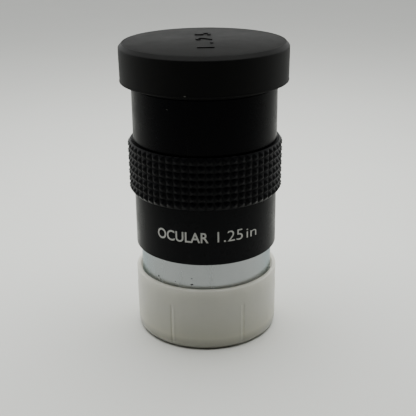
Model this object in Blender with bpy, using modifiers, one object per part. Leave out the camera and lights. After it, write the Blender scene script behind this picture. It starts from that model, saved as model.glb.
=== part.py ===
"""Telescope eyepiece: a 25 mm Ploessl on a 1.25 inch barrel, standing in its translucent barrel cap, with
its black eye cap on. Every piece is turned about the optical axis, which is +Z. The origin is the centre of
the barrel cap's standing face. Lengths are in metres, written as a number of millimetres times MM.
"""

import math

import bmesh
import bpy

MM = 0.001

# ---- fits ----
CONTACT = 0.05 * MM  # between two faces that rest on each other
THREAD_FIT = 0.05 * MM  # radial, between a screwed-in piece and its bore
SLIDE_FIT = 0.15 * MM  # radial, between pieces that slide on each other

# ---- driving dimensions of the outside ----
BARREL_RADIUS = 31.75 / 2 * MM  # the 1.25 inch standard
SHOULDER_Z = 22.1 * MM  # where the housing stops on a focuser
HOUSING_RADIUS = 17.0 * MM
GRIP_BOTTOM_Z = 35.7 * MM
GRIP_TOP_Z = 48.1 * MM
GRIP_RADIUS = 18.4 * MM  # over the tips of the studs
TUBE_TOP_Z = 60.7 * MM  # top of the full-diameter upper housing
HOUSING_TOP_Z = 65.2 * MM
EYECUP_RIM_Z = 69.1 * MM
OVERALL_HEIGHT = 70.5 * MM

# ---- optics: two equal cemented doublets, crown to crown, about 25 mm focal length ----
LENS_RADIUS = 11.0 * MM
OUTER_CURVE = 80.0 * MM  # weakly convex outside of each flint
CEMENTED_CURVE = 20.0 * MM
INNER_CURVE = 25.0 * MM
CROWN_THICKNESS = 6.6 * MM
FLINT_THICKNESS = 1.6 * MM
LENS_AIR_GAP = 0.5 * MM
EYE_LENS_TOP_Z = 59.7 * MM
FIELD_STOP_DISTANCE = 19.4 * MM  # front focal distance, from the field lens to the field stop
FIELD_STOP_RADIUS = 10.8 * MM

DOUBLET_THICKNESS = CROWN_THICKNESS + CONTACT + FLINT_THICKNESS
STACK_CENTRE_Z = EYE_LENS_TOP_Z - DOUBLET_THICKNESS - LENS_AIR_GAP / 2
FIELD_LENS_BOTTOM_Z = STACK_CENTRE_Z - LENS_AIR_GAP / 2 - DOUBLET_THICKNESS
FIELD_STOP_Z = FIELD_LENS_BOTTOM_Z - FIELD_STOP_DISTANCE

# ---- barrel cap ----
CAP_FLOOR = 1.2 * MM
CAP_HEIGHT = 15.75 * MM
CAP_BASE_RADIUS = 17.1 * MM
CAP_RIM_RADIUS = 17.25 * MM
CAP_BORE_RADIUS = 16.55 * MM
CAP_CORNER = 1.0 * MM
CAP_BASE_RECESS_RADIUS = 13.0 * MM
CAP_BASE_RECESS = 0.25 * MM
RIB_COUNT = 6
RIB_WIDTH = 0.9 * MM
RIB_HEIGHT = 9.0 * MM
RIB_PHASE = math.radians(1.0)

# ---- barrel ----
BARREL_BOTTOM_Z = CAP_FLOOR + 2 * CONTACT
BARREL_SOCKET_DEPTH = 0.6 * MM  # how far the full diameter goes into the housing
BARREL_NECK_RADIUS = 14.9 * MM
BARREL_NECK_TOP_Z = 26.6 * MM
FILTER_THREAD_RADIUS = 14.25 * MM  # M28.5 x 0.6
FILTER_THREAD_DEPTH = 4.5 * MM
BARREL_BORE_RADIUS = 13.4 * MM
STOP_SEAT_RADIUS = 13.9 * MM
STOP_THICKNESS = 2.5 * MM

# ---- housings ----
CHAMBER_RADIUS = 14.2 * MM
CHAMBER_FLOOR_Z = 26.7 * MM
GRIP_SEAT_RADIUS = 16.35 * MM
HOUSING_JOINT_Z = 42.0 * MM  # under the grip
NECK_BOTTOM_Z = 38.1 * MM  # lower end of the upper housing's screwed neck
NECK_RADIUS = 15.1 * MM
CELL_BORE_RADIUS = 13.0 * MM
CELL_THREAD_BORE_RADIUS = 13.8 * MM
CELL_THREAD_TOP_Z = 44.0 * MM
EYE_LIP_RADIUS = 11.6 * MM
EYE_LIP_BOTTOM_Z = 60.2 * MM
EYE_LIP_TOP_Z = 61.0 * MM
DISH_RADIUS = 15.3 * MM
DISH_TOP_Z = 64.9 * MM
BEAD_GROOVE_RADIUS = 16.2 * MM
BEAD_GROOVE_TOP_Z = 62.7 * MM
BEAD_LIP_RADIUS = 16.7 * MM
EDGE = 0.25 * MM  # small turned chamfers

# ---- lens cell ----
CELL_BOTTOM_Z = 41.3 * MM
CELL_TOP_Z = EYE_LIP_BOTTOM_Z - CONTACT
CELL_LIP_RADIUS = 10.3 * MM
RING_THREAD_RADIUS = 11.5 * MM
RING_THREAD_TOP_Z = 43.45 * MM
RING_THICKNESS = 1.7 * MM
SPACER_WALL = 0.6 * MM
SLOT_WIDTH = 1.2 * MM
SLOT_DEPTH = 0.8 * MM
LENS_EDGE_SAG = OUTER_CURVE - math.sqrt(OUTER_CURVE**2 - CELL_LIP_RADIUS**2)
CELL_LIP_Z = EYE_LENS_TOP_Z - LENS_EDGE_SAG + CONTACT
RING_TOP_Z = FIELD_LENS_BOTTOM_Z + LENS_EDGE_SAG - CONTACT

# ---- rubber grip ----
STUD_COLUMNS = 60
STUD_ROWS = 7
STUD_HEIGHT = 0.55 * MM
GRIP_MARGIN = 0.35 * MM  # plain band above and below the studs
GRIP_EDGE = 0.5 * MM

# ---- eyecup and eye cap ----
EYECUP_SEAT_OUTER = 17.1 * MM
SLEEVE_INNER = 17.25 * MM
SLEEVE_OUTER = 18.3 * MM
SLEEVE_BOTTOM_Z = 64.6 * MM
EYE_CAP_RADIUS = 19.6 * MM
EYE_CAP_BORE = SLEEVE_OUTER + SLIDE_FIT
EYE_CAP_BOTTOM_Z = 61.7 * MM
EYE_CAP_TOP = 1.25 * MM
EYE_CAP_BEVEL = 0.85 * MM

# ---- facets ----
OUTER_STEPS = 48
INNER_STEPS = 36
ARC_STEPS = 4


# ---- scene helpers ----
def clear_scene():
    for obj in list(bpy.data.objects):
        bpy.data.objects.remove(obj)


def new_collection(name, hidden=False):
    collection = bpy.data.collections.new(name)
    collection.hide_render = hidden
    bpy.context.scene.collection.children.link(collection)
    return collection


def make_material(name, colour, roughness, metallic=0.0, transmission=0.0):
    material = bpy.data.materials.new(name)
    material.use_nodes = True
    shader = material.node_tree.nodes["Principled BSDF"]
    shader.inputs["Base Color"].default_value = (*colour, 1.0)
    shader.inputs["Roughness"].default_value = roughness
    shader.inputs["Metallic"].default_value = metallic
    shader.inputs["Transmission Weight"].default_value = transmission
    material.diffuse_color = (*colour, 1.0)
    return material


def make_materials():
    return {
        "milky_plastic": make_material("milky_plastic", (0.75, 0.75, 0.71), 0.35),
        "chrome": make_material("chrome", (0.80, 0.82, 0.84), 0.12, metallic=1.0),
        "satin_black": make_material("satin_black", (0.018, 0.018, 0.018), 0.38),
        "gloss_black": make_material("gloss_black", (0.012, 0.012, 0.013), 0.16),
        "matt_black_metal": make_material("matt_black_metal", (0.02, 0.02, 0.02), 0.6),
        "grip_rubber": make_material("grip_rubber", (0.025, 0.025, 0.027), 0.6),
        "eyecup_rubber": make_material("eyecup_rubber", (0.03, 0.03, 0.03), 0.7),
        "cap_plastic": make_material("cap_plastic", (0.035, 0.035, 0.035), 0.5),
        "coated_glass": make_material("coated_glass", (0.9, 0.95, 0.92), 0.02, transmission=1.0),
    }


def make_frames(collection):
    """One empty for each group that moves as a unit, on the optical axis that all the slides share."""
    frames = {}
    for name, height, parent in (
        ("barrel_cap_frame", 0.0, None),
        ("eyepiece_frame", SHOULDER_Z, "barrel_cap_frame"),
        ("eyecup_frame", HOUSING_TOP_Z, "eyepiece_frame"),
        ("eye_cap_frame", EYE_CAP_BOTTOM_Z, "eyepiece_frame"),
    ):
        empty = bpy.data.objects.new(name, None)
        empty.empty_display_size = 5 * MM
        collection.objects.link(empty)
        base = 0.0
        if parent:
            empty.parent = frames[parent][0]
            base = frames[parent][1]
        empty.location.z = height - base
        frames[name] = (empty, height)
    return frames


def place(obj, frame, height):
    """Puts obj on the optical axis with its own zero at this height, and parents it to the frame."""
    empty, base = frame
    obj.parent = empty
    obj.location.z = height - base
    return obj


# ---- shape helpers ----
def turned(name, profile, material, collection, steps=OUTER_STEPS, closed=True):
    """A turned part. The profile is (radius, height) points that run down the outside first. A closed profile
    makes a ring, and an open one starts and ends on the axis."""
    mesh = bpy.data.meshes.new(name)
    edges = [(i, i + 1) for i in range(len(profile) - 1)]
    if closed:
        edges.append((len(profile) - 1, 0))
    mesh.from_pydata([(radius, 0.0, height) for radius, height in profile], edges, [])
    mesh.materials.append(material)
    obj = bpy.data.objects.new(name, mesh)
    collection.objects.link(obj)
    screw = obj.modifiers.new("turn", "SCREW")
    screw.axis = "Z"
    screw.angle = 2 * math.pi
    screw.steps = steps
    screw.render_steps = steps
    screw.use_merge_vertices = True
    screw.merge_threshold = 0.000001
    screw.use_smooth_shade = True
    return obj


def arc(centre, radius, start, end, steps=ARC_STEPS):
    """Points on an arc in the (radius, height) plane, angles in degrees from +radius towards +height."""
    points = []
    for i in range(steps + 1):
        angle = math.radians(start + (end - start) * i / steps)
        points.append((centre[0] + radius * math.cos(angle), centre[1] + radius * math.sin(angle)))
    return points


def sag(curve, radius):
    """How far a sphere of this curve falls away from its vertex at this radius."""
    return curve - math.sqrt(curve * curve - radius * radius)


def sphere_line(curve, vertex, direction, outwards=True):
    """Points of a lens surface from axis to rim. Direction is -1 where the rim is below the vertex."""
    points = []
    for i in range(ARC_STEPS + 1):
        radius = LENS_RADIUS * i / ARC_STEPS
        points.append((radius, vertex + direction * sag(curve, radius)))
    return points if outwards else points[::-1]


def box_object(name, size, centre, collection, rotation=0.0):
    """A box turned about the optical axis by rotation, with its centre given before that turn."""
    mesh = bpy.data.meshes.new(name)
    shape = bmesh.new()
    bmesh.ops.create_cube(shape, size=1.0)
    for vertex in shape.verts:
        vertex.co = [vertex.co[k] * size[k] + centre[k] for k in range(3)]
    shape.to_mesh(mesh)
    shape.free()
    obj = bpy.data.objects.new(name, mesh)
    obj.rotation_euler.z = rotation
    collection.objects.link(obj)
    return obj


def as_helper(obj):
    obj.hide_render = True
    obj.display_type = "WIRE"
    return obj


def boolean(target, helper, operation):
    modifier = target.modifiers.new(helper.name, "BOOLEAN")
    modifier.operation = operation
    modifier.object = helper
    modifier.solver = "EXACT"


# ---- the pieces, from the bottom up ----
def barrel_cap(parts, helpers, materials):
    """A thin-walled cup with a rounded foot and six ribs that grip the barrel."""
    corner = (CAP_BASE_RADIUS - CAP_CORNER, CAP_CORNER)
    inside = [
        (0.0, CAP_FLOOR),
        (CAP_BORE_RADIUS, CAP_FLOOR),
        (CAP_BORE_RADIUS, CAP_HEIGHT - EDGE),
        (CAP_BORE_RADIUS + EDGE, CAP_HEIGHT),
    ]
    outside = [
        (CAP_RIM_RADIUS - EDGE, CAP_HEIGHT),
        (CAP_RIM_RADIUS, CAP_HEIGHT - EDGE),
        *arc(corner, CAP_CORNER, 0, -90),
        (CAP_BASE_RECESS_RADIUS, 0.0),
        (CAP_BASE_RECESS_RADIUS - CAP_BASE_RECESS, CAP_BASE_RECESS),
        (0.0, CAP_BASE_RECESS),
    ]
    cup = turned("barrel_cap", inside + outside, materials["milky_plastic"], parts, closed=False)
    rib_inner = BARREL_RADIUS + SLIDE_FIT / 2 + THREAD_FIT
    rib_outer = CAP_BORE_RADIUS + EDGE
    rib_size = (rib_outer - rib_inner, RIB_WIDTH, RIB_HEIGHT + EDGE)
    rib_centre = ((rib_outer + rib_inner) / 2, 0.0, CAP_FLOOR + (RIB_HEIGHT - EDGE) / 2)
    for i in range(RIB_COUNT):
        angle = RIB_PHASE + 2 * math.pi * i / RIB_COUNT
        rib = as_helper(box_object(f"rib_{i + 1}", rib_size, rib_centre, helpers, angle))
        boolean(cup, rib, "UNION")
    return cup


def barrel(parts, materials):
    """The chromed sleeve, with the filter thread's bore at its mouth and a screwed neck at its top."""
    socket_top = SHOULDER_Z + BARREL_SOCKET_DEPTH
    length = BARREL_NECK_TOP_Z - BARREL_BOTTOM_Z
    socket = socket_top - BARREL_BOTTOM_Z
    seat = FIELD_STOP_Z - STOP_THICKNESS - CONTACT - BARREL_BOTTOM_Z
    profile = [
        (BARREL_NECK_RADIUS, length),
        (BARREL_NECK_RADIUS, socket),
        (BARREL_RADIUS, socket),
        (BARREL_RADIUS, EDGE),
        (BARREL_RADIUS - EDGE, 0.0),
        (FILTER_THREAD_RADIUS + EDGE, 0.0),
        (FILTER_THREAD_RADIUS, EDGE),
        (FILTER_THREAD_RADIUS, FILTER_THREAD_DEPTH),
        (BARREL_BORE_RADIUS, FILTER_THREAD_DEPTH + EDGE),
        (BARREL_BORE_RADIUS, seat),
        (STOP_SEAT_RADIUS, seat),
        (STOP_SEAT_RADIUS, length),
    ]
    return turned("barrel", profile, materials["chrome"], parts)


def field_stop_ring(parts, helpers, materials):
    """The ring whose knife edge lies in the focal plane, with two spanner slots in its upper face."""
    radius = STOP_SEAT_RADIUS - THREAD_FIT
    knife = 0.3 * MM
    profile = [
        (radius, STOP_THICKNESS),
        (radius, 0.0),
        (FIELD_STOP_RADIUS + STOP_THICKNESS / 2, 0.0),
        (FIELD_STOP_RADIUS, STOP_THICKNESS - knife),
        (FIELD_STOP_RADIUS, STOP_THICKNESS),
    ]
    ring = turned("field_stop_ring", profile, materials["matt_black_metal"], parts, INNER_STEPS)
    slots = spanner_slots("field_stop_slots", STOP_THICKNESS, helpers)
    boolean(ring, slots, "DIFFERENCE")
    return ring


def spanner_slots(name, height, helpers):
    """A cutter that runs across the axis, so that it cuts one slot on each side of a ring's face."""
    size = (4 * LENS_RADIUS, SLOT_WIDTH, 2 * SLOT_DEPTH)
    return as_helper(box_object(name, size, (0.0, 0.0, height), helpers))


def lower_housing(parts, materials):
    """The marked lower body: a socket for the barrel, the dark chamber and half of the grip's seat."""
    wall = NECK_RADIUS + THREAD_FIT
    profile = [
        (GRIP_SEAT_RADIUS, HOUSING_JOINT_Z),
        (GRIP_SEAT_RADIUS, GRIP_BOTTOM_Z),
        (HOUSING_RADIUS, GRIP_BOTTOM_Z),
        (HOUSING_RADIUS, SHOULDER_Z + EDGE),
        (HOUSING_RADIUS - EDGE, SHOULDER_Z),
        (BARREL_RADIUS + THREAD_FIT, SHOULDER_Z),
        (BARREL_RADIUS + THREAD_FIT, SHOULDER_Z + BARREL_SOCKET_DEPTH + CONTACT),
        (BARREL_NECK_RADIUS + THREAD_FIT, SHOULDER_Z + BARREL_SOCKET_DEPTH + CONTACT),
        (BARREL_NECK_RADIUS + THREAD_FIT, CHAMBER_FLOOR_Z),
        (CHAMBER_RADIUS, CHAMBER_FLOOR_Z),
        (CHAMBER_RADIUS, NECK_BOTTOM_Z - CONTACT),
        (wall, NECK_BOTTOM_Z - CONTACT),
        (wall, HOUSING_JOINT_Z),
    ]
    return turned("lower_housing", shifted(profile, SHOULDER_Z), materials["satin_black"], parts)


def shifted(profile, down):
    """The profile with its heights counted from this height."""
    return [(radius, height - down) for radius, height in profile]


def upper_housing(parts, materials):
    """The glossy upper body: the eyecup's groove, the eye-side dish, the cell's bore and a screwed neck."""
    joint = HOUSING_JOINT_Z + CONTACT
    profile = [
        (BEAD_LIP_RADIUS - EDGE, HOUSING_TOP_Z),
        (BEAD_LIP_RADIUS, HOUSING_TOP_Z - EDGE),
        (BEAD_LIP_RADIUS, BEAD_GROOVE_TOP_Z),
        (BEAD_GROOVE_RADIUS, BEAD_GROOVE_TOP_Z),
        (BEAD_GROOVE_RADIUS, TUBE_TOP_Z),
        (HOUSING_RADIUS, TUBE_TOP_Z),
        (HOUSING_RADIUS, GRIP_TOP_Z),
        (GRIP_SEAT_RADIUS, GRIP_TOP_Z),
        (GRIP_SEAT_RADIUS, joint),
        (NECK_RADIUS, joint),
        (NECK_RADIUS, NECK_BOTTOM_Z),
        (CELL_THREAD_BORE_RADIUS, NECK_BOTTOM_Z),
        (CELL_THREAD_BORE_RADIUS, CELL_THREAD_TOP_Z + CONTACT),
        (CELL_BORE_RADIUS, CELL_THREAD_TOP_Z + CONTACT),
        (CELL_BORE_RADIUS, EYE_LIP_BOTTOM_Z),
        (EYE_LIP_RADIUS, EYE_LIP_BOTTOM_Z),
        (EYE_LIP_RADIUS, EYE_LIP_TOP_Z),
        (DISH_RADIUS, DISH_TOP_Z),
        (DISH_RADIUS + EDGE, HOUSING_TOP_Z),
    ]
    return turned("upper_housing", shifted(profile, joint), materials["gloss_black"], parts)


def grip_sleeve(parts, materials):
    """The rubber sleeve: a band of square facets, each of which is raised to the tip of a four-sided stud."""
    length = GRIP_TOP_Z - GRIP_BOTTOM_Z - 2 * CONTACT
    bore = GRIP_SEAT_RADIUS + THREAD_FIT
    base = GRIP_RADIUS - STUD_HEIGHT
    band = length - 2 * GRIP_MARGIN
    rows = [(base, GRIP_MARGIN + band * (1 - i / STUD_ROWS)) for i in range(STUD_ROWS + 1)]
    profile = [
        (base - GRIP_EDGE, length),
        *rows,
        (base - GRIP_EDGE, 0.0),
        (bore, 0.0),
        (bore, length),
    ]
    grip = turned("grip_sleeve", profile, materials["grip_rubber"], parts, STUD_COLUMNS)
    raise_studs(grip, base)
    return grip


def raise_studs(grip, base):
    """Replaces the turned band by its mesh and pokes each facet that lies at the base radius."""
    graph = bpy.context.evaluated_depsgraph_get()
    mesh = bpy.data.meshes.new_from_object(grip.evaluated_get(graph))
    grip.modifiers.clear()
    grip.data = mesh
    shape = bmesh.new()
    shape.from_mesh(mesh)
    facet_depth = base * math.cos(math.pi / STUD_COLUMNS)
    on_band = [
        face
        for face in shape.faces
        if all(abs(math.hypot(v.co.x, v.co.y) - base) < CONTACT / 10 for v in face.verts)
    ]
    bmesh.ops.poke(shape, faces=on_band, offset=GRIP_RADIUS - facet_depth, center_mode="MEAN")
    shape.to_mesh(mesh)
    shape.free()


def lens_cell(parts, materials):
    """The black sleeve that holds both doublets: a lip at the eye end and a thread at the field end."""
    profile = [
        (CELL_BORE_RADIUS - THREAD_FIT, CELL_TOP_Z),
        (CELL_BORE_RADIUS - THREAD_FIT, CELL_THREAD_TOP_Z),
        (CELL_THREAD_BORE_RADIUS - THREAD_FIT, CELL_THREAD_TOP_Z),
        (CELL_THREAD_BORE_RADIUS - THREAD_FIT, CELL_BOTTOM_Z),
        (RING_THREAD_RADIUS, CELL_BOTTOM_Z),
        (RING_THREAD_RADIUS, RING_THREAD_TOP_Z),
        (LENS_RADIUS + THREAD_FIT, RING_THREAD_TOP_Z),
        (LENS_RADIUS + THREAD_FIT, CELL_LIP_Z),
        (CELL_LIP_RADIUS, CELL_LIP_Z),
        (CELL_LIP_RADIUS + 2 * EDGE, CELL_TOP_Z),
    ]
    cell = turned(
        "lens_cell", shifted(profile, CELL_BOTTOM_Z), materials["matt_black_metal"], parts, INNER_STEPS
    )
    return cell


def crown_mesh_object(name, parts, materials):
    """A biconvex crown, with its cemented vertex at zero and its inner vertex below it."""
    profile = [
        *sphere_line(CEMENTED_CURVE, 0.0, -1),
        *sphere_line(INNER_CURVE, -CROWN_THICKNESS, +1, outwards=False),
    ]
    return turned(name, profile, materials["coated_glass"], parts, INNER_STEPS, closed=False)


def flint_mesh_object(name, parts, materials):
    """A meniscus flint that sits on the crown's cemented face, with its concave vertex at zero."""
    profile = [
        *sphere_line(OUTER_CURVE, FLINT_THICKNESS, -1),
        *sphere_line(CEMENTED_CURVE, 0.0, -1, outwards=False),
    ]
    return turned(name, profile, materials["coated_glass"], parts, INNER_STEPS, closed=False)


def flipped_copy(obj, name, parts):
    """The same lens, turned end for end."""
    copy = bpy.data.objects.new(name, obj.data)
    parts.objects.link(copy)
    screw = copy.modifiers.new("turn", "SCREW")
    source = obj.modifiers["turn"]
    screw.axis = source.axis
    screw.angle = source.angle
    screw.steps = source.steps
    screw.render_steps = source.render_steps
    screw.use_merge_vertices = source.use_merge_vertices
    screw.merge_threshold = source.merge_threshold
    screw.use_smooth_shade = source.use_smooth_shade
    copy.rotation_euler.x = math.pi
    return copy


def doublets(parts, materials, frame):
    """Both cemented doublets, crown to crown, with the air gap between their inner vertices."""
    crown_height = LENS_AIR_GAP / 2 + CROWN_THICKNESS
    eye_crown = crown_mesh_object("eye_crown_lens", parts, materials)
    eye_flint = flint_mesh_object("eye_flint_lens", parts, materials)
    field_crown = flipped_copy(eye_crown, "field_crown_lens", parts)
    field_flint = flipped_copy(eye_flint, "field_flint_lens", parts)
    place(eye_crown, frame, STACK_CENTRE_Z + crown_height)
    place(eye_flint, frame, STACK_CENTRE_Z + crown_height + CONTACT)
    place(field_crown, frame, STACK_CENTRE_Z - crown_height)
    place(field_flint, frame, STACK_CENTRE_Z - crown_height - CONTACT)


def lens_spacer(parts, materials):
    """The thin ring that keeps the two crowns' rims apart. Its own zero is its middle."""
    half = LENS_AIR_GAP / 2 + sag(INNER_CURVE, LENS_RADIUS) - CONTACT
    inner = LENS_RADIUS - SPACER_WALL
    # The inner edge is shorter, because the crowns bulge towards each other there.
    inner_half = LENS_AIR_GAP / 2 + sag(INNER_CURVE, inner) - CONTACT
    profile = [(LENS_RADIUS, half), (LENS_RADIUS, -half), (inner, -inner_half), (inner, inner_half)]
    return turned("lens_spacer", profile, materials["matt_black_metal"], parts, INNER_STEPS)


def cell_retaining_ring(parts, helpers, materials):
    """The threaded ring that closes the cell under the field lens, with two spanner slots below."""
    radius = RING_THREAD_RADIUS - THREAD_FIT
    profile = [
        (radius, RING_THICKNESS),
        (radius, 0.0),
        (CELL_LIP_RADIUS + 2 * EDGE, 0.0),
        (CELL_LIP_RADIUS, RING_THICKNESS),
    ]
    ring = turned("cell_retaining_ring", profile, materials["matt_black_metal"], parts, INNER_STEPS)
    boolean(ring, spanner_slots("retaining_ring_slots", 0.0, helpers), "DIFFERENCE")
    return ring


def eyecup_seat(parts, materials):
    """The part of the rubber eyecup that stays put: the bead in its groove and the wall round the lip."""
    bead_inner = BEAD_GROOVE_RADIUS + THREAD_FIT
    wall_inner = BEAD_LIP_RADIUS + THREAD_FIT
    top = HOUSING_TOP_Z + EDGE
    profile = [
        (EYECUP_SEAT_OUTER, top),
        (EYECUP_SEAT_OUTER, TUBE_TOP_Z + CONTACT),
        (bead_inner, TUBE_TOP_Z + CONTACT),
        (bead_inner, BEAD_GROOVE_TOP_Z - CONTACT),
        (wall_inner, BEAD_GROOVE_TOP_Z - CONTACT),
        (wall_inner, top),
    ]
    return turned("eyecup_seat", shifted(profile, TUBE_TOP_Z), materials["eyecup_rubber"], parts)


def eyecup_sleeve(parts, materials):
    """The part of the rubber eyecup that folds down round the housing."""
    profile = [
        (SLEEVE_OUTER - EDGE, EYECUP_RIM_Z),
        (SLEEVE_OUTER, EYECUP_RIM_Z - EDGE),
        (SLEEVE_OUTER, SLEEVE_BOTTOM_Z + EDGE),
        (SLEEVE_OUTER - EDGE, SLEEVE_BOTTOM_Z),
        (SLEEVE_INNER, SLEEVE_BOTTOM_Z),
        (SLEEVE_INNER, EYECUP_RIM_Z - EDGE),
        (SLEEVE_INNER + EDGE, EYECUP_RIM_Z),
    ]
    return turned("eyecup_sleeve", shifted(profile, HOUSING_TOP_Z), materials["eyecup_rubber"], parts)


def eye_cap(parts, materials):
    """The push-on dust cap, with a bevelled top edge and a plain inside that grips the eyecup."""
    height = OVERALL_HEIGHT - EYE_CAP_BOTTOM_Z
    ceiling = height - EYE_CAP_TOP
    profile = [
        (0.0, height),
        (EYE_CAP_RADIUS - EYE_CAP_BEVEL, height),
        (EYE_CAP_RADIUS - EDGE / 2, height - EYE_CAP_BEVEL + EDGE / 2),
        (EYE_CAP_RADIUS, height - EYE_CAP_BEVEL - EDGE),
        (EYE_CAP_RADIUS - EDGE / 2, EDGE),
        (EYE_CAP_RADIUS - EDGE, 0.0),
        (EYE_CAP_BORE + EDGE, 0.0),
        (EYE_CAP_BORE, EDGE),
        (EYE_CAP_BORE, ceiling - EDGE),
        (EYE_CAP_BORE - EDGE, ceiling),
        (0.0, ceiling),
    ]
    return turned("eye_cap", profile, materials["cap_plastic"], parts, closed=False)


def build():
    clear_scene()
    parts = new_collection("telescope_eyepiece")
    helpers = new_collection("boolean_helpers", hidden=True)
    materials = make_materials()
    frames = make_frames(parts)
    body = frames["eyepiece_frame"]

    place(barrel_cap(parts, helpers, materials), frames["barrel_cap_frame"], 0.0)
    place(barrel(parts, materials), body, BARREL_BOTTOM_Z)
    place(field_stop_ring(parts, helpers, materials), body, FIELD_STOP_Z - STOP_THICKNESS)
    place(lower_housing(parts, materials), body, SHOULDER_Z)
    place(upper_housing(parts, materials), body, HOUSING_JOINT_Z + CONTACT)
    place(grip_sleeve(parts, materials), body, GRIP_BOTTOM_Z + CONTACT)
    place(lens_cell(parts, materials), body, CELL_BOTTOM_Z)
    doublets(parts, materials, body)
    place(lens_spacer(parts, materials), body, STACK_CENTRE_Z)
    place(cell_retaining_ring(parts, helpers, materials), body, RING_TOP_Z - RING_THICKNESS)
    place(eyecup_seat(parts, materials), body, TUBE_TOP_Z)
    place(eyecup_sleeve(parts, materials), frames["eyecup_frame"], HOUSING_TOP_Z)
    place(eye_cap(parts, materials), frames["eye_cap_frame"], EYE_CAP_BOTTOM_Z)
    place_helpers(helpers)


def place_helpers(helpers):
    """Puts each spanner-slot cutter at the height of the ring that it cuts."""
    helpers.objects["field_stop_slots"].location.z = FIELD_STOP_Z - STOP_THICKNESS
    helpers.objects["retaining_ring_slots"].location.z = RING_TOP_Z - RING_THICKNESS


build()
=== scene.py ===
"""Looks of the telescope eyepiece: fine turned meshes, moulded rubber, printed marks and every material.

Shapes are worked out in millimetres on the frame's own boxes, and become metres where a mesh is made. The
turned pieces share the optical axis, which is +Z, and the camera looks along +Y.
"""
import math

import bmesh
import bpy
from mathutils import Matrix, Vector


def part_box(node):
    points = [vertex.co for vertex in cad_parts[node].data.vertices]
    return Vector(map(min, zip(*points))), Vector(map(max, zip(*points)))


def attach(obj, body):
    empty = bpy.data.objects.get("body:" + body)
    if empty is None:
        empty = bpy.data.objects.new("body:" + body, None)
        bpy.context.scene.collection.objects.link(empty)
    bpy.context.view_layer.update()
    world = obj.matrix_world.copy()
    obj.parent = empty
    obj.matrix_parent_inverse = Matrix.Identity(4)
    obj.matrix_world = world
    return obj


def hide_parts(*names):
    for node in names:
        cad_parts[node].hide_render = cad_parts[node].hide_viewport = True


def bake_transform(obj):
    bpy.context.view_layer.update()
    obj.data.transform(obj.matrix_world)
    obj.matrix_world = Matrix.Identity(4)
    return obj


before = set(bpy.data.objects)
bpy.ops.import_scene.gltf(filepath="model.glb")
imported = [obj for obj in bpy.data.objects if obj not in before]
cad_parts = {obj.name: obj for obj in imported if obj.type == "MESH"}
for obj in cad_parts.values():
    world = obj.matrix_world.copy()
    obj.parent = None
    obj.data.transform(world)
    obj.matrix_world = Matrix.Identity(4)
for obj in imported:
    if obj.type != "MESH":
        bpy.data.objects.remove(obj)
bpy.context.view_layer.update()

MM = 0.001
FULL_TURN = 2 * math.pi
FRONT = -math.pi / 2  # the direction that faces the camera, as an angle about the optical axis
SEGMENTS = 192
INNER_SEGMENTS = 96
SHARP_ANGLE = math.radians(32)
FILLET_STEPS = 5
ON_AXIS = 1e-6  # a radius below this is a point on the axis, in millimetres
CONTACT = 0.05  # between two faces that rest on each other, in millimetres, as in the CAD
GRIP_SEAT = 16.35  # radius of the groove that the grip fills, in millimetres


# ---- sizes from the frame ----
def span(node):
    """(lowest height, highest height, outer radius) of a CAD node, in millimetres."""
    low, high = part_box(node)
    return low.z / MM, high.z / MM, high.x / MM


# ---- turned meshes ----
def polar(radius, angle, height):
    """A place in metres, from millimetres and an angle about the optical axis."""
    return (radius * math.cos(angle) * MM, radius * math.sin(angle) * MM, height * MM)


def filleted(points, closed=True, steps=FILLET_STEPS):
    """Rounds the corners of a (radius, height, fillet) outline. A point without a fillet stays sharp. Each
    arc has a further point beside either end, which keeps the next wall flat in smooth shading."""
    outline = []
    count = len(points)
    for i, point in enumerate(points):
        here = Vector(point[:2])
        fillet = point[2] if len(point) > 2 else 0.0
        at_end = not closed and i in (0, count - 1)
        if fillet <= 0 or at_end:
            outline.append(tuple(here))
            continue
        before = Vector(points[i - 1][:2]) - here
        after = Vector(points[(i + 1) % count][:2]) - here
        turn = math.pi - before.angle(after)
        reach = fillet * math.tan(turn / 2)
        start = here + before.normalized() * reach
        end = here + after.normalized() * reach
        inward = (before.normalized() + after.normalized()).normalized()
        centre = here + inward * math.hypot(fillet, reach)
        spoke_start = start - centre
        sweep = spoke_start.angle_signed(end - centre)
        support = 0.4 * fillet
        room_before = min(support, before.length - reach)
        room_after = min(support, after.length - reach)
        outline.append(tuple(start + before.normalized() * room_before * 0.5))
        for k in range(steps + 1):
            angle = -sweep * k / steps
            spoke = Matrix.Rotation(angle, 2) @ spoke_start
            outline.append(tuple(centre + spoke))
        outline.append(tuple(end + after.normalized() * room_after * 0.5))
    return outline


def even_angles(segments):
    return [FULL_TURN * i / segments for i in range(segments)]


def lathe(name, outline, angles=None, closed=True, relief=None):
    """A turned mesh from an outline that runs down its outer side first. An open outline starts and ends on
    the axis. relief(angle, radius, height) gives a change of radius in millimetres."""
    angles = angles or even_angles(SEGMENTS)
    shape = bmesh.new()
    rings = []
    for radius, height in outline:
        if radius < ON_AXIS:
            rings.append([shape.verts.new((0.0, 0.0, height * MM))])
            continue
        ring = []
        for angle in angles:
            r = radius + (relief(angle, radius, height) if relief else 0.0)
            ring.append(shape.verts.new(polar(r, angle, height)))
        rings.append(ring)
    pairs = list(zip(rings, rings[1:]))
    if closed:
        pairs.append((rings[-1], rings[0]))
    for upper, lower in pairs:
        for j in range(len(angles)):
            k = (j + 1) % len(angles)
            if len(upper) == 1:
                shape.faces.new((upper[0], lower[j], lower[k]))
            elif len(lower) == 1:
                shape.faces.new((upper[j], lower[0], upper[k]))
            else:
                shape.faces.new((upper[j], lower[j], lower[k], upper[k]))
    return mesh_object(name, shape)


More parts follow.
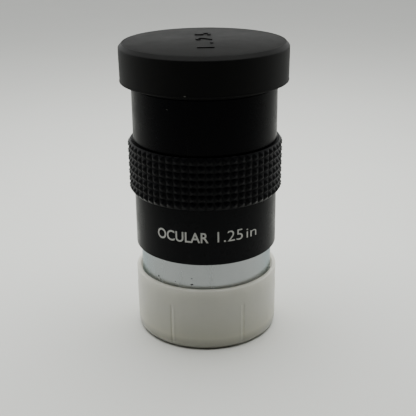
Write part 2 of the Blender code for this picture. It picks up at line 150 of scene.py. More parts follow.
def mesh_object(name, shape, sharp=SHARP_ANGLE):
    """Turns a bmesh into a shown object, shaded smooth with sharp corners."""
    mesh = bpy.data.meshes.new(name)
    shape.to_mesh(mesh)
    shape.free()
    mesh.shade_smooth()
    mesh.set_sharp_from_angle(angle=sharp)
    obj = bpy.data.objects.new(name, mesh)
    bpy.context.scene.collection.objects.link(obj)
    return obj


def thread_outline(radius, bottom, top, pitch, depth):
    """A V thread as plain rings from the bottom up, cut depth millimetres outwards from this radius."""
    turns = int((top - bottom) / pitch)
    points = []
    for i in range(turns):
        height = bottom + i * pitch
        points += [(radius, height), (radius, height + 0.15 * pitch)]
        points += [(radius + depth, height + 0.5 * pitch), (radius + depth, height + 0.65 * pitch)]
    points.append((radius, bottom + turns * pitch))
    return points


def place(piece, body, slot, *nodes, materials=()):
    """Gives a piece its materials and its body, and hides the CAD nodes that it stands for. slot is not used.
    """
    for material in materials:
        piece.data.materials.append(material)
    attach(piece, body)
    if nodes:
        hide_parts(*nodes)
    return piece


def paint_inside(piece, radius, low=-math.inf):
    """Gives the second material to the faces nearer the axis than this radius and above this height."""
    for face in piece.data.polygons:
        x, y, z = face.center / MM
        if math.hypot(x, y) < radius and z > low:
            face.material_index = 1


# ---- node helpers ----
def add(tree, kind, inputs=None, **settings):
    """Adds a shader node. An input is a number, a colour or another node's output."""
    made = tree.nodes.new(kind)
    for key, value in settings.items():
        setattr(made, key, value)
    for key, value in (inputs or {}).items():
        if isinstance(value, bpy.types.NodeSocket):
            tree.links.new(value, made.inputs[key])
        else:
            made.inputs[key].default_value = value
    return made


def finish_of(name, colour, roughness, **sockets):
    """A material with one Principled shader. Returns the material, its tree and the shader."""
    material = bpy.data.materials.new(name)
    material.use_nodes = True
    tree = material.node_tree
    shader = tree.nodes["Principled BSDF"]
    shader.inputs["Base Color"].default_value = (*colour, 1.0)
    shader.inputs["Roughness"].default_value = roughness
    for key, value in sockets.items():
        shader.inputs[key.replace("_", " ")].default_value = value
    return material, tree, shader


def place_of(tree, squeeze=(1.0, 1.0, 1.0)):
    """Coordinates on the piece in millimetres, stretched by squeeze."""
    here = add(tree, "ShaderNodeTexCoord").outputs["Object"]
    scale = tuple(1000.0 * s for s in squeeze)
    return add(tree, "ShaderNodeMapping", {"Vector": here, "Scale": scale}).outputs["Vector"]


def noise(tree, where, per_mm, detail=3.0, roughness=0.55):
    inputs = {"Vector": where, "Scale": per_mm, "Detail": detail, "Roughness": roughness}
    return add(tree, "ShaderNodeTexNoise", inputs).outputs["Fac"]


def height_of(tree):
    """Height on the piece in millimetres."""
    return add(tree, "ShaderNodeSeparateXYZ", {"Vector": place_of(tree)}).outputs["Z"]


def turning_lines(tree, per_mm, detail=4.0):
    """Level rings from a tool, as noise that changes only with height."""
    inputs = {"W": height_of(tree), "Scale": per_mm, "Detail": detail, "Roughness": 0.7}
    return add(tree, "ShaderNodeTexNoise", inputs, noise_dimensions="1D").outputs["Fac"]


def ranged(tree, value, low, high, to_low, to_high):
    inputs = {"Value": value, "From Min": low, "From Max": high, "To Min": to_low, "To Max": to_high}
    return add(tree, "ShaderNodeMapRange", inputs).outputs["Result"]


def mixed(tree, factor, first, second):
    """A colour between two colours."""
    made = add(tree, "ShaderNodeMix", data_type="RGBA")
    for key, value in (("Factor", factor), ("A", first), ("B", second)):
        socket = next(s for s in made.inputs if s.name == key and s.type in ("VALUE", "RGBA") and s.enabled)
        if isinstance(value, bpy.types.NodeSocket):
            tree.links.new(value, socket)
        else:
            socket.default_value = value
    return next(s for s in made.outputs if s.enabled)


def bumped(tree, shader, height, depth_mm):
    """Raises the surface by height times depth_mm, on top of any bump already there."""
    inputs = {"Height": height, "Distance": depth_mm * MM, "Strength": 1.0}
    bump = add(tree, "ShaderNodeBump", inputs)
    for earlier in [link.from_socket for link in shader.inputs["Normal"].links]:
        tree.links.new(earlier, bump.inputs["Normal"])
    tree.links.new(bump.outputs["Normal"], shader.inputs["Normal"])


def coloured(tree, shader, factor, first, second):
    """Colours the surface between two colours."""
    tree.links.new(mixed(tree, factor, (*first, 1.0), (*second, 1.0)), shader.inputs["Base Color"])


def edge_mask(tree, low, high):
    """Near 1 on outward corners and near 0 elsewhere."""
    pointed = add(tree, "ShaderNodeNewGeometry").outputs["Pointiness"]
    return ranged(tree, pointed, low, high, 0.0, 1.0)


# ---- materials ----
def moulded(name, colour, roughness, grain_per_mm, grain_depth, specular=0.5, sheen=0.0, dust=0.012):
    """Matt plastic, rubber or ink: spark-eroded grain, faint smears in its gloss and a few pale specks."""
    material, tree, shader = finish_of(
        name, colour, roughness, Specular_IOR_Level=specular, Sheen_Weight=sheen, Sheen_Roughness=0.7
    )
    where = place_of(tree)
    bumped(tree, shader, noise(tree, where, grain_per_mm, 2.0), grain_depth)
    smears = noise(tree, place_of(tree, (1.0, 1.0, 0.4)), 0.18, 5.0, 0.65)
    smoother = roughness - 0.04
    rougher = roughness + 0.04
    tree.links.new(ranged(tree, smears, 0.3, 0.7, smoother, rougher), shader.inputs["Roughness"])
    specks = ranged(tree, noise(tree, where, 2.6, 1.0), 0.74, 0.80, 0.0, 0.5)
    coloured(tree, shader, specks, colour, tuple(c + dust for c in colour))
    return material


def turned_black(name, colour, roughness, line_depth, specular=0.5, worn=(0.05, 0.05, 0.05)):
    """Black anodised aluminium: faint turning lines, rubbed edges and fingerprints in its gloss."""
    material, tree, shader = finish_of(name, colour, roughness, Specular_IOR_Level=specular)
    bumped(tree, shader, turning_lines(tree, 9.0, 3.0), line_depth)
    bumped(tree, shader, noise(tree, place_of(tree), 14.0, 2.0), line_depth)
    prints = noise(tree, place_of(tree), 0.22, 6.0, 0.6)
    smudged = ranged(tree, prints, 0.35, 0.7, roughness * 0.8, roughness * 1.25)
    tree.links.new(smudged, shader.inputs["Roughness"])
    patches = ranged(tree, noise(tree, place_of(tree), 1.5), 0.45, 0.65, 0.0, 0.6)
    factors = {0: edge_mask(tree, 0.515, 0.56), 1: patches}
    rubbed = add(tree, "ShaderNodeMath", factors, operation="MULTIPLY").outputs[0]
    coloured(tree, shader, rubbed, colour, worn)
    return material


def chrome_material():
    """Dulled nickel-chrome plate over turned brass: fine level lines and slightly cloudy patches."""
    material, tree, shader = finish_of(
        "chrome_plate", (0.31, 0.325, 0.33), 0.2, Metallic=1.0, Specular_Tint=(0.62, 0.70, 0.72, 1.0)
    )
    lines = turning_lines(tree, 7.0)
    bumped(tree, shader, lines, 0.006)
    clouds = noise(tree, place_of(tree, (1.0, 1.0, 0.25)), 0.3, 6.0, 0.6)
    tree.links.new(ranged(tree, clouds, 0.3, 0.7, 0.16, 0.32), shader.inputs["Roughness"])
    bands = ranged(tree, lines, 0.3, 0.7, 0.0, 1.0)
    coloured(tree, shader, bands, (0.275, 0.290, 0.294), (0.345, 0.362, 0.366))
    return material


def milky_material(name, foot_shade_colour):
    """Soft milky polyethylene, which light passes into. It is cloudy, and yellower low down. Near the floor
    it darkens towards the foot colour, a painted shade where the cap stands.
    """
    clear = (0.70, 0.68, 0.553, 1.0)
    clouded = (0.735, 0.713, 0.58, 1.0)
    lower_tint = (0.70, 0.675, 0.50, 1.0)
    material, tree, shader = finish_of(
        name,
        (0.74, 0.72, 0.58),
        0.34,
        Subsurface_Weight=0.7,
        Subsurface_Scale=0.008,
        Subsurface_Radius=(1.0, 0.98, 0.92),
        Specular_IOR_Level=0.3,
    )
    cloud = noise(tree, place_of(tree, (1.0, 1.0, 0.5)), 0.16, 5.0, 0.6)
    cloudy = mixed(tree, ranged(tree, cloud, 0.3, 0.7, 0.0, 1.0), clear, clouded)
    height = height_of(tree)
    yellower_low = mixed(tree, ranged(tree, height, 9.0, 0.0, 0.0, 1.0), cloudy, lower_tint)
    # painted shade: from 3 mm down to 1 mm the colour darkens towards the foot colour, where the cap stands
    # on the floor
    painted_foot_shade = ranged(tree, height, 3.0, 1.0, 0.0, 1.0)
    tree.links.new(mixed(tree, painted_foot_shade, yellower_low, (*foot_shade_colour, 1.0)), shader.inputs["Base Color"])
    tree.links.new(ranged(tree, cloud, 0.3, 0.7, 0.28, 0.42), shader.inputs["Roughness"])
    bumped(tree, shader, noise(tree, place_of(tree, (1.0, 1.0, 0.3)), 1.2, 4.0), 0.02)
    return material


def glass_material():
    """Optical glass with a thin antireflection coating."""
    material, tree, shader = finish_of(
        "coated_glass",
        (0.96, 1.0, 0.98),
        0.01,
        Transmission_Weight=1.0,
        IOR=1.52,
        Thin_Film_Thickness=110.0,
        Thin_Film_IOR=1.38,
    )
    bumped(tree, shader, noise(tree, place_of(tree), 0.5, 2.0), 0.0002)
    return material


def make_materials():
    cap_black = (0.0003, 0.0003, 0.0003)
    # painted light: the top gets its own copy of the cap's black, a little lighter in colour, with less
    # specular and more sheen, so that top and sides take the brightness that the light gives them
    cap_top_lit_black = (0.0008, 0.0008, 0.0007)
    grip_black = (0.0004, 0.0005, 0.0012)
    return {
        "eye_cap": moulded("cap_plastic", cap_black, 0.5, 9.0, 0.008, specular=0.055, sheen=0.025),
        "eye_cap_top_lit": moulded("cap_top_lit", cap_top_lit_black, 0.55, 9.0, 0.012, specular=0.017, sheen=0.031),
        "eyecup": moulded("eyecup_rubber", (0.005, 0.005, 0.005), 0.6, 11.0, 0.015, specular=0.05),
        "grip": moulded("grip_rubber", grip_black, 0.35, 8.0, 0.02, specular=0.065, sheen=0.014),
        "gloss": turned_black("gloss_anodised", (0.0007, 0.0007, 0.0014), 0.3, 0.0012, specular=0.05),
        "satin": turned_black("satin_anodised", (0.0062, 0.0064, 0.0072), 0.3, 0.003, specular=0.045),
        "blackened": turned_black("blackened_inside", (0.008, 0.008, 0.008), 0.7, 0.006, specular=0.2),
        "chrome": chrome_material(),
        # the outer foot colour is painted shade where the cap stands on the floor; the inside keeps the plain
        # yellower colour, with no shade
        "milky": milky_material("milky_polyethylene", (0.36, 0.35, 0.30)),
        "milky_inside": milky_material("milky_unshaded", (0.70, 0.675, 0.50)),
        "glass": glass_material(),
        "ink": moulded("marking_ink", (0.42, 0.42, 0.40), 0.5, 20.0, 0.003, dust=0.1),
        "dirt": moulded("dirt", (0.02, 0.018, 0.016), 0.8, 10.0, 0.01),
        "dust": moulded("dust", (0.10, 0.10, 0.09), 0.8, 10.0, 0.01),
    }


# ---- the pieces ----
def make_barrel_cap(materials):
    """A milky cup with a lip and a rounded foot. Six ribs grip the barrel, and the wall sinks at each."""
    base, rim, rim_radius = span("barrel_cap")
    base_radius = rim_radius - 0.15
    bore = 16.55
    inner_limit = 16.8  # every radius of the inner wall is below this
    recess_radius = 13.0
    recess = 0.25
    floor = base + 1.2
    rib_top = floor + 9.0
    sink_top = rib_top + 1.2
    inside = [
        (0.0, floor),
        (bore, floor, 0.5),
        (bore, rib_top - 0.3),
        (bore, rib_top),
        (bore, rim - 2.2, 0.4),
        (bore - 0.4, rim - 1.3, 0.4),
        (bore - 0.35, rim, 0.25),
    ]
    outside = [
        (rim_radius, rim, 0.35),
        (rim_radius, rim - 1.6),
        *[(rim_radius - 0.04, sink_top - 0.2 * i) for i in range(5)],
        (rim_radius - 0.06, 9.0),
        (rim_radius - 0.10, 5.0),
        (base_radius + 0.02, 3.2),
        (base_radius, base, 1.4),
        (recess_radius, base, 0.15),
        (recess_radius - recess, base + recess, 0.1),
        (0.0, base + recess),
    ]
    ribs = [math.radians(0.4 + 60.0 * i) for i in range(6)]
    fine_step = 0.1
    fine_steps = 12
    rib_half_width = 0.4
    rib_height = 0.4
    rib_side = 0.1
    sink_half_width = 0.45
    sink_depth = 0.2
    swell_centre = 0.7
    swell_half_width = 0.4
    swell_height = 0.1

    def turn_from(rib, angle):
        """The turn from a rib to an angle, from minus half a turn to plus half a turn."""
        return (angle - rib + math.pi) % FULL_TURN - math.pi

    angles = set(even_angles(SEGMENTS))
    for rib in ribs:
        angles -= {a for a in angles if abs(turn_from(rib, a)) < fine_step * fine_steps / rim_radius}
        for i in range(fine_steps):
            step = fine_step * i / rim_radius
            angles |= {(rib + step) % FULL_TURN, (rib - step) % FULL_TURN}

    def hump(offset, half_width):
        """A smooth hump of height 1."""
        return math.cos(math.pi / 2 * offset / half_width) ** 2 if abs(offset) < half_width else 0.0

    def relief(angle, radius, height):
        """A rib on the inner wall, with a shallow sunk line and a swelling beside it on the outer wall."""
        turns = [(turn_from(rib, angle), rib) for rib in ribs]
        turn, rib = min(turns, key=lambda pair: abs(pair[0]))
        if radius < inner_limit:
            on_wall = abs(radius - bore) < 0.01 and floor + 0.4 < height < rib_top - 0.2
            side = (rib_half_width - abs(turn) * radius) / rib_side
            return -rib_height * max(0.0, min(1.0, side)) if on_wall else 0.0
        across = -turn * radius * math.copysign(1.0, math.cos(rib))
        fade = max(0.0, min(1.0, (sink_top - height) / 0.8, (height - 0.6) / 1.2))
        swell = swell_height * hump(across - swell_centre, swell_half_width)
        return fade * (swell - sink_depth * hump(across, sink_half_width))

    cap = lathe("barrel_cap_cup", filleted(inside + outside, closed=False), sorted(angles), False, relief)
    finishes = [materials["milky"], materials["milky_inside"]]
    place(cap, "barrel_cap", "milky_plastic", "barrel_cap", materials=finishes)
    paint_inside(cap, inner_limit, low=floor - 0.01)
    return cap


def make_barrel(materials):
    """The plated sleeve: a filter thread at its mouth, a black inside and a screwed neck in the housing."""
    bottom, top, radius = span("barrel")
    seat = span("field_stop_ring")[0] - CONTACT
    socket = span("lower_housing")[0] + 0.6
    neck = 14.9
    mouth = 14.5
    filter_thread = 14.25
    bore = 13.4
    stop_seat = 13.9
    outline = [
        (neck, top, 0.1),
        (neck, socket),
        (radius, socket),
        (radius, bottom, 0.3),
        (mouth, bottom, 0.15),
        *thread_outline(filter_thread, bottom + 0.3, bottom + 4.6, 0.6, 0.28),
        (bore, bottom + 5.1, 0.1),
        (bore, seat),
        (stop_seat, seat),
        (stop_seat, top, 0.1),
    ]
    barrel = lathe("barrel_sleeve", filleted(outline))
    place(barrel, "eyepiece", "chrome", "barrel", materials=[materials["chrome"], materials["blackened"]])
    paint_inside(barrel, stop_seat + 0.1, low=bottom + 0.4)
    return barrel


def make_lower_housing(materials):
    """The housing with the marking: a socket for the barrel, a baffled chamber and a seat for the grip."""
    bottom, top, radius = span("lower_housing")
    grip_bottom = span("grip_sleeve")[0] - CONTACT
    neck_bottom = span("upper_housing")[0] - CONTACT
    socket = 15.925
    socket_top = bottom + 0.65
    barrel_thread = 14.95
    chamber = 14.2
    chamber_floor = 26.7
    neck_thread = 15.15
    outline = [
        (GRIP_SEAT, top, 0.1),
        (GRIP_SEAT, grip_bottom),
        (radius - 0.02, grip_bottom, 0.15),
        (radius, grip_bottom - 0.6),
        (radius, bottom, 0.22),
        (socket, bottom, 0.08),
        (socket, socket_top),
        (barrel_thread, socket_top),
        (barrel_thread, chamber_floor),
        *thread_outline(chamber, 26.9, neck_bottom - 0.35, 0.5, 0.22),
        (chamber, neck_bottom),
        (neck_thread, neck_bottom),
        (neck_thread, top, 0.1),
    ]
    housing = lathe("lower_housing_body", filleted(outline))
    finishes = [materials["satin"], materials["blackened"]]
    place(housing, "eyepiece", "satin_black", "lower_housing", materials=finishes)
    paint_inside(housing, 15.5)
    return housing


def make_upper_housing(materials):
    """The housing of the lenses: a bead groove for the eyecup, and a stepped dish round the eye lens."""
    bottom, top, radius = span("upper_housing")
    grip_top = span("grip_sleeve")[1] + CONTACT
    joint = span("lower_housing")[1] + CONTACT
    tube_top = span("eyecup_seat")[0] - CONTACT
    cell_top = span("lens_cell")[1] + CONTACT
    bead_lip = 16.7
    bead_groove = 16.2
    groove_top = tube_top + 2.0
    neck = 15.1
    cell_thread = 13.8
    cell_thread_top = 44.05
    cell_bore = 13.0
    eye_lip = 11.6
    dish_bottom = 61.0
    dish_depth = 3.9
    dish_flare = 3.7
    dish_steps = 9
    dish = []
    for i in range(dish_steps):
        height = dish_bottom + i * dish_depth / dish_steps
        out = eye_lip + i * dish_flare / dish_steps
        dish += [(out, height), (out, height + 0.3)]
    outline = [
        (bead_lip - 0.25, top, 0.15),
        (bead_lip, top - 0.25, 0.1),
        (bead_lip, groove_top),
        (bead_groove, groove_top),
        (bead_groove, tube_top),
        (radius, tube_top, 0.2),
        (radius, grip_top, 0.2),
        (GRIP_SEAT, grip_top),
        (GRIP_SEAT, joint),
        (neck, joint),
        (neck, bottom, 0.15),
        (cell_thread, bottom, 0.15),
        (cell_thread, cell_thread_top),
        (cell_bore, cell_thread_top),
        (cell_bore, cell_top),
        (eye_lip, cell_top),
        *dish,
        (eye_lip + dish_flare, dish_bottom + dish_depth),
        (15.5, top, 0.1),
    ]
    housing = lathe("upper_housing_body", filleted(outline))
    finishes = [materials["gloss"], materials["blackened"]]
    place(housing, "eyepiece", "gloss_black", "upper_housing", materials=finishes)
    paint_inside(housing, 15.9)
    return housing


def make_grip(materials):
    """The rubber sleeve. Its studs are four-sided, with soft tips and soft valleys between them."""
    low, high, tip_radius = span("grip_sleeve")
    columns = 60
    rows = 7
    stud = 0.6  # height of a whole stud, before its tip is blunted
    blunted = 0.93
    margin = 0.15
    base_top = tip_radius - stud
    taper = 0.08
    cell = [-1.0, -0.94, -0.5, -0.12, 0.0, 0.12, 0.5, 0.94]
    band_low = low + margin
    band = high - low - 2 * margin

    def stud_height(across, up):
        """Height over the valley at a place in one stud's cell, both from -1 to 1."""
        slope = 1.0 - (abs(across) ** 6 + abs(up) ** 6) ** (1 / 6)
        return stud * max(0.0, min(slope, blunted))

    heights = [(band_low + band * (r + (c + 1) / 2) / rows, c) for r in range(rows) for c in cell]
    heights.append((band_low + band, -1.0))
    turns = [(FULL_TURN * (k + (c + 1) / 2) / columns, c) for k in range(columns) for c in cell]

    shape = bmesh.new()
    rings = []

    def ring(radius, height):
        rings.append([shape.verts.new(polar(radius, angle, height)) for angle, _ in turns])

    def base_radius(height):
        return base_top - taper * (high - height) / (high - low)

    bore = GRIP_SEAT + 0.05
    ring(bore, low + 0.4)
    ring(base_radius(low) - 0.55, low + 0.3)
    ring(base_radius(low) - 0.3, low + 0.08)
    ring(base_radius(low) - 0.15, low)
    studs_start = len(rings)
    for height, up in heights:
        rings.append(
            [
                shape.verts.new(polar(base_radius(height) + stud_height(across, up), angle, height))
                for angle, across in turns
            ]
        )
    studs_end = len(rings) - 1
    ring(base_radius(high) - 0.12, high)
    ring(base_radius(high) - 0.3, high - 0.08)
    ring(base_radius(high) - 0.55, high - 0.3)
    ring(bore, high - 0.4)
    count = len(turns)
    for i, lower in enumerate(rings):
        upper = rings[(i + 1) % len(rings)]
        for j in range(count):
            k = (j + 1) % count
            corners = (lower[j], lower[k], upper[k], upper[j])
            if not studs_start <= i < studs_end:
                shape.faces.new(corners)
                continue
            on_right = turns[j][1] > -0.06
            in_upper_half = heights[i - studs_start][1] > -0.06
            if on_right == in_upper_half:  # a square is cut along the diagonal towards its stud's middle
                shape.faces.new((corners[0], corners[1], corners[2]))
                shape.faces.new((corners[0], corners[2], corners[3]))
            else:
                shape.faces.new((corners[0], corners[1], corners[3]))
                shape.faces.new((corners[1], corners[2], corners[3]))
    grip = mesh_object("grip_rubber_sleeve", shape, math.radians(50))
    return place(grip, "eyepiece", "grip_rubber", "grip_sleeve", materials=[materials["grip"]])


def make_eyecup(materials):
    """One moulding: a bead in the housing's groove, and a wall above it that turns down over the housing."""
    seat_low, seat_top, seat_radius = span("eyecup_seat")
    fold, lip, wall = span("eyecup_sleeve")
    bead = 16.25
    bead_top = seat_low + 1.9
    over_lip = 16.75
    inner_wall = 17.25
    outline = [
        (wall, lip, 0.35),
        (wall, lip - 1.2, 0.3),
        (wall - 0.15, lip - 1.35, 0.3),
        (wall - 0.15, lip - 2.6),
        (wall - 0.15, fold + 0.9, 0.5),
        (seat_radius + 0.05, fold + 0.35, 0.25),
        (seat_radius, fold - 1.0),
        (seat_radius, seat_low, 0.15),
        (bead, seat_low, 0.1),
        (bead, bead_top, 0.1),
        (over_lip, bead_top, 0.1),
        (over_lip, seat_top - 0.1),
        (over_lip + 0.15, seat_top + 0.1, 0.15),
        (inner_wall, seat_top + 0.6, 0.4),
        (inner_wall, lip - 2.6),
        (inner_wall, lip - 1.3),
        (inner_wall, lip, 0.3),
    ]
    cup = lathe("eyecup_moulding", subdivided(filleted(outline), 0.45))
    cup.data.materials.append(materials["eyecup"])
    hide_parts("eyecup_seat", "eyecup_sleeve")
    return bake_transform(cup)


def subdivided(outline, longest):
    """A closed outline with points added so that no step is longer than this."""
    finer = []
    for here, after in zip(outline, outline[1:] + outline[:1]):
        pieces = max(1, math.ceil(math.dist(here, after) / longest))
        for k in range(pieces):
            finer.append(tuple(a + (b - a) * k / pieces for a, b in zip(here, after)))
    return finer


def make_eye_cap(materials):
    """The soft dust cap: a bevelled edge with a fine line inside it, a slight draft, and flash at its lip."""
    bottom, top, radius = span("eye_cap")
    bore = 18.45
    ceiling = top - 1.25
    bevel = 0.85
    flat = radius - bevel
    outline = [
        (0.0, top),
        (flat - 0.55, top),
        (flat - 0.42, top - 0.07, 0.04),
        (flat - 0.28, top - 0.07, 0.04),
        (flat - 0.14, top - 0.02, 0.1),
        (flat, top - 0.06, 0.3),
        (radius - 0.03, top - bevel - 0.1, 0.45),
        (radius - 0.01, top - 2.6),
        (radius - 0.09, bottom + 0.55, 0.2),
        (radius - 0.02, bottom + 0.3, 0.1),
        (radius - 0.06, bottom, 0.15),
        (bore + 0.25, bottom, 0.15),
        (bore, bottom + 0.6),
        (bore, ceiling, 0.3),
        (0.0, ceiling),
    ]
    cap = lathe("eye_cap_shell", filleted(outline, closed=False), closed=False)
    # painted light: the top faces get the lighter copy of the cap's black
    finishes = [materials["eye_cap"], materials["eye_cap_top_lit"]]
    place(cap, "eye_cap", "cap_plastic", "eye_cap", materials=finishes)
    paint_inside(cap, flat, low=top - 0.2)
    return cap


# ---- optics ----
def sag(curve, radius):
    """Depth of a sphere's cap at this radius, for a sphere of radius curve."""
    return curve - math.sqrt(curve * curve - radius * radius)


def lens_side(curve, vertex, direction, radius, steps=14):
    """Points of a lens surface from the axis outwards. Direction is -1 where the rim is below the vertex."""
    radii = [radius * i / steps for i in range(steps + 1)]
    return [(r, vertex + direction * sag(curve, r)) for r in radii]


def make_lenses(materials):
    """Two doublets. The curves are those of the CAD: weak outside, steep where cemented, steep inside."""
    outer = 80.0
    cemented = 20.0
    inner = 25.0
    seam = 0.004  # keeps the two cemented faces from lying in one place
    _, eye_top, radius = span("eye_flint_lens")
    eye_inner, eye_joint, _ = span("eye_crown_lens")
    field_bottom = span("field_flint_lens")[0]
    field_joint, field_inner, _ = span("field_crown_lens")
    sides = {
        "eye_flint_lens": ((outer, eye_top, -1), (cemented, eye_joint + seam, -1)),
        "eye_crown_lens": ((cemented, eye_joint, -1), (inner, eye_inner, 1)),
        "field_crown_lens": ((inner, field_inner, -1), (cemented, field_joint, 1)),
        "field_flint_lens": ((cemented, field_joint - seam, 1), (outer, field_bottom, 1)),
    }
    for node, (above, below) in sides.items():
        outline = lens_side(*above, radius) + lens_side(*below, radius)[::-1]
        lens = lathe(node.replace("_lens", "_element"), outline, even_angles(INNER_SEGMENTS), closed=False)
        place(lens, "eyepiece", "coated_glass", node, materials=[materials["glass"]])


def make_inner_rings(materials):
    """The cell, spacer, retaining ring and field stop: CAD shapes that hide inside, in blackened metal."""
    for node in ("lens_cell", "lens_spacer", "cell_retaining_ring", "field_stop_ring"):
        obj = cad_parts[node]
        obj.data.materials.clear()
        obj.data.materials.append(materials["blackened"])


# ---- marks ----
def text_outline(words, size, boldness, spacing=1.0):
    """Flat letters as a bmesh, in millimetres, with their feet on the X axis."""
    curve = bpy.data.curves.new("letters", "FONT")
    curve.body = words
    curve.size = size
    curve.offset = boldness
    curve.space_character = spacing
    curve.resolution_u = 6
    holder = bpy.data.objects.new("letters", curve)
    bpy.context.scene.collection.objects.link(holder)
    bpy.context.view_layer.update()
    graph = bpy.context.evaluated_depsgraph_get()
    mesh = bpy.data.meshes.new_from_object(holder.evaluated_get(graph))
    shape = bmesh.new()
    shape.from_mesh(mesh)
    bpy.data.objects.remove(holder)
    bpy.data.meshes.remove(mesh)
    bmesh.ops.remove_doubles(shape, verts=shape.verts, dist=0.001)
    return shape


def wrap_words(name, words, size, boldness, start, end, base, radius, material):
    """Ink letters from one angle to another round a cylinder, with their feet at height base."""
    ink = 0.018  # how far a letter stands out, and how deep it starts
    step = 0.35  # between the cuts that let a letter bend round the cylinder
    shape = text_outline(words, size, boldness)
    left = min(v.co.x for v in shape.verts)
    right = max(v.co.x for v in shape.verts)
    width = (end - start) * radius
    stretch = width / (right - left)
    for i in range(1, int(width / step)):
        cut = left + i * step / stretch
        geometry = list(shape.verts) + list(shape.edges) + list(shape.faces)
        bmesh.ops.bisect_plane(shape, geom=geometry, plane_co=(cut, 0, 0), plane_no=(1, 0, 0), dist=1e-5)
    made = bmesh.ops.extrude_face_region(shape, geom=list(shape.faces))
    raised = {v for v in made["geom"] if isinstance(v, bmesh.types.BMVert)}
    for vertex in shape.verts:
        angle = start + (vertex.co.x - left) * stretch / radius
        out = radius + (ink if vertex in raised else -ink)
        vertex.co = Vector(polar(out, angle, base + vertex.co.y))
    bmesh.ops.recalc_face_normals(shape, faces=shape.faces)
    marks = mesh_object(name, shape)
    return place(marks, "eyepiece", "satin_black", materials=[material])


def make_marking(materials):
    """Generic words in place of the real marking: what the part is, and the size of its barrel."""
    bottom, _, radius = span("lower_housing")
    base = bottom + 5.65
    ink = materials["ink"]

    def at(degrees):
        return FRONT + math.radians(degrees)

    wrap_words("marking_word", "OCULAR", 3.5, 0.045, at(-40.6), at(1.8), base, radius, ink)
    wrap_words("marking_number", "1.25", 3.8, -0.02, at(8.7), at(29.5), base, radius, ink)
    wrap_words("marking_unit", "in", 3.5, -0.03, at(33.0), at(43.0), base, radius, ink)


def make_cap_mark(materials):
    """Raised figures across the eye cap's top, read from the front edge backwards: the barrel's size."""
    top = span("eye_cap")[1]
    letter_height = 3.8
    length = 19.0
    raised = 0.24
    shape = text_outline("1.25", 5.4, 0.05, spacing=1.9)
    right = max(v.co.x for v in shape.verts)
    left = min(v.co.x for v in shape.verts)
    made = bmesh.ops.extrude_face_region(shape, geom=list(shape.faces))
    lifted = {v for v in made["geom"] if isinstance(v, bmesh.types.BMVert)}
    for vertex in shape.verts:
        along = ((vertex.co.x - left) / (right - left) - 0.5) * length
        across = vertex.co.y - letter_height / 2
        height = top + (raised if vertex in lifted else -0.05)
        vertex.co = Vector((-across * MM, along * MM, height * MM))
    bmesh.ops.recalc_face_normals(shape, faces=shape.faces)
    bmesh.ops.rotate(shape, verts=shape.verts, matrix=Matrix.Rotation(math.radians(2.0), 3, "Z"))
    mark = mesh_object("eye_cap_mark", shape)
    # the figures share the top's lighter copy of the black: painted light
    return place(mark, "eye_cap", "cap_plastic", materials=[materials["eye_cap_top_lit"]])


def make_fleck(name, degrees, height, width, tall, radius, body, slot, material):
    """A small uneven flake that lies on a turned wall. Degrees run from the front, and sizes are in mm."""
    sides = 14
    layers = ((1.0, -0.01), (0.75, 0.025), (0.3, 0.035))  # share of its size, and height over the wall
    shape = bmesh.new()
    rings = []
    for scale, proud in layers:
        ring = []
        for i in range(sides):
            turn = FULL_TURN * i / sides
            uneven = 1.0 + 0.22 * math.sin(2 * turn + degrees) + 0.13 * math.sin(5 * turn + height)
            angle = FRONT + math.radians(degrees) + 0.5 * width * scale * uneven * math.cos(turn) / radius
            level = height + 0.5 * tall * scale * uneven * math.sin(turn)
            ring.append(shape.verts.new(polar(radius + proud, angle, level)))
        rings.append(ring)
    for outer, inner in zip(rings, rings[1:]):
        for j in range(sides):
            k = (j + 1) % sides
            shape.faces.new((outer[j], outer[k], inner[k], inner[j]))
    shape.faces.new(rings[-1])
    shape.faces.new(rings[0][::-1])
    return place(mesh_object(name, shape), body, slot, materials=[material])


def make_flecks(materials):
    """Dirt where the plating has lifted near the cap's rim, and two small pale flecks."""
    barrel = span("barrel")[2]
    tube = span("upper_housing")[2]
    cap_low, _, cap_radius = span("eye_cap")
    chips = [  # degrees from the front, height, width and tallness
        (-45.6, 16.9, 0.62, 0.42),
        (-27.5, 16.8, 0.42, 0.2),
        (-12.6, 16.6, 0.72, 0.4),
        (-12.6, 18.1, 0.5, 0.18),
    ]
    for i, (degrees, height, width, tall) in enumerate(chips):
        name = f"barrel_chip_{i + 1}"
        make_fleck(name, degrees, height, width, tall, barrel, "eyepiece", "chrome", materials["dirt"])
    dust = materials["dust"]
    make_fleck("cap_dust", -12.4, cap_low + 0.4, 0.6, 0.25, cap_radius - 0.07, "eye_cap", "cap_plastic", dust)
    make_fleck("tube_dust", -28.6, 58.3, 0.3, 0.3, tube, "eyepiece", "gloss_black", dust)


# ---- floor, light and camera ----
def make_stage():
    """A plain pale floor with a faint unevenness."""
    bpy.ops.mesh.primitive_plane_add(size=6.0)
    floor = bpy.context.object
    floor.name = "floor"
    material, tree, shader = finish_of("pale_floor", (0.62, 0.625, 0.60), 0.6, Specular_IOR_Level=0.25)
    paper = noise(tree, place_of(tree), 0.02, 4.0)
    coloured(tree, shader, paper, (0.60, 0.605, 0.58), (0.63, 0.635, 0.61))
    bumped(tree, shader, noise(tree, place_of(tree), 3.0, 2.0), 0.01)
    floor.data.materials.append(material)


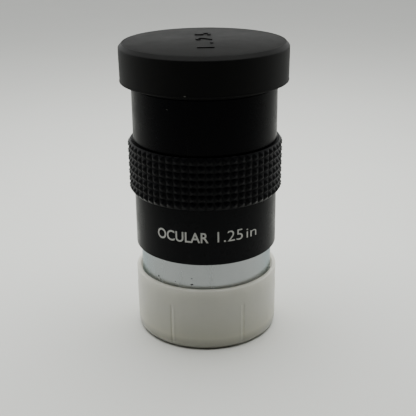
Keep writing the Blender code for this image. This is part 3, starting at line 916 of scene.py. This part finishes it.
def make_lights():
    """A room that is dark on the camera's side and pale behind, and one soft light above, a little behind."""
    world = bpy.data.worlds.new("studio")
    bpy.context.scene.world = world
    world.use_nodes = True
    tree = world.node_tree
    background = tree.nodes["Background"]
    background.inputs["Color"].default_value = (0.985, 1.0, 0.985, 1.0)
    direction = add(tree, "ShaderNodeTexCoord").outputs["Generated"]
    split = add(tree, "ShaderNodeSeparateXYZ", {"Vector": direction})
    dark_side = 0.05
    pale_side = 1.4
    away = ranged(tree, split.outputs["Y"], -0.35, 0.35, dark_side, pale_side)
    tree.links.new(away, background.inputs["Strength"])

    data = bpy.data.lights.new("soft_overhead", "AREA")
    data.size = 0.25
    data.energy = 0.87
    data.spread = math.radians(140.0)
    data.color = (0.99, 1.0, 0.975)
    light = bpy.data.objects.new("soft_overhead", data)
    light.location = (0.0, 0.06, 0.25)
    aim = Vector((0.0, 0.12, 0.0)) - Vector(light.location)
    light.rotation_euler = aim.to_track_quat("-Z", "Y").to_euler()
    bpy.context.scene.collection.objects.link(light)


def make_camera():
    """The photographer's view: close, a little above, with a slight lean."""
    distance = 0.1932
    height = 0.1041
    down = math.radians(21.06)
    lean = math.radians(-0.62)
    aside = math.radians(-0.16)
    data = bpy.data.cameras.new("camera")
    data.sensor_width = 36.0
    data.lens = 73.3
    data.clip_start = 0.01
    camera = bpy.data.objects.new("camera", data)
    turn = Matrix.Rotation(aside, 4, "Z") @ Matrix.Rotation(math.pi / 2 - down, 4, "X")
    camera.matrix_world = Matrix.Translation((0.0, -distance, height)) @ turn @ Matrix.Rotation(lean, 4, "Z")
    bpy.context.scene.collection.objects.link(camera)
    bpy.context.scene.camera = camera


def main():
    materials = make_materials()
    make_barrel_cap(materials)
    make_barrel(materials)
    make_lower_housing(materials)
    make_upper_housing(materials)
    make_grip(materials)
    make_eyecup(materials)
    make_eye_cap(materials)
    make_lenses(materials)
    make_inner_rings(materials)
    make_marking(materials)
    make_cap_mark(materials)
    make_flecks(materials)
    make_stage()
    make_lights()
    make_camera()


main()
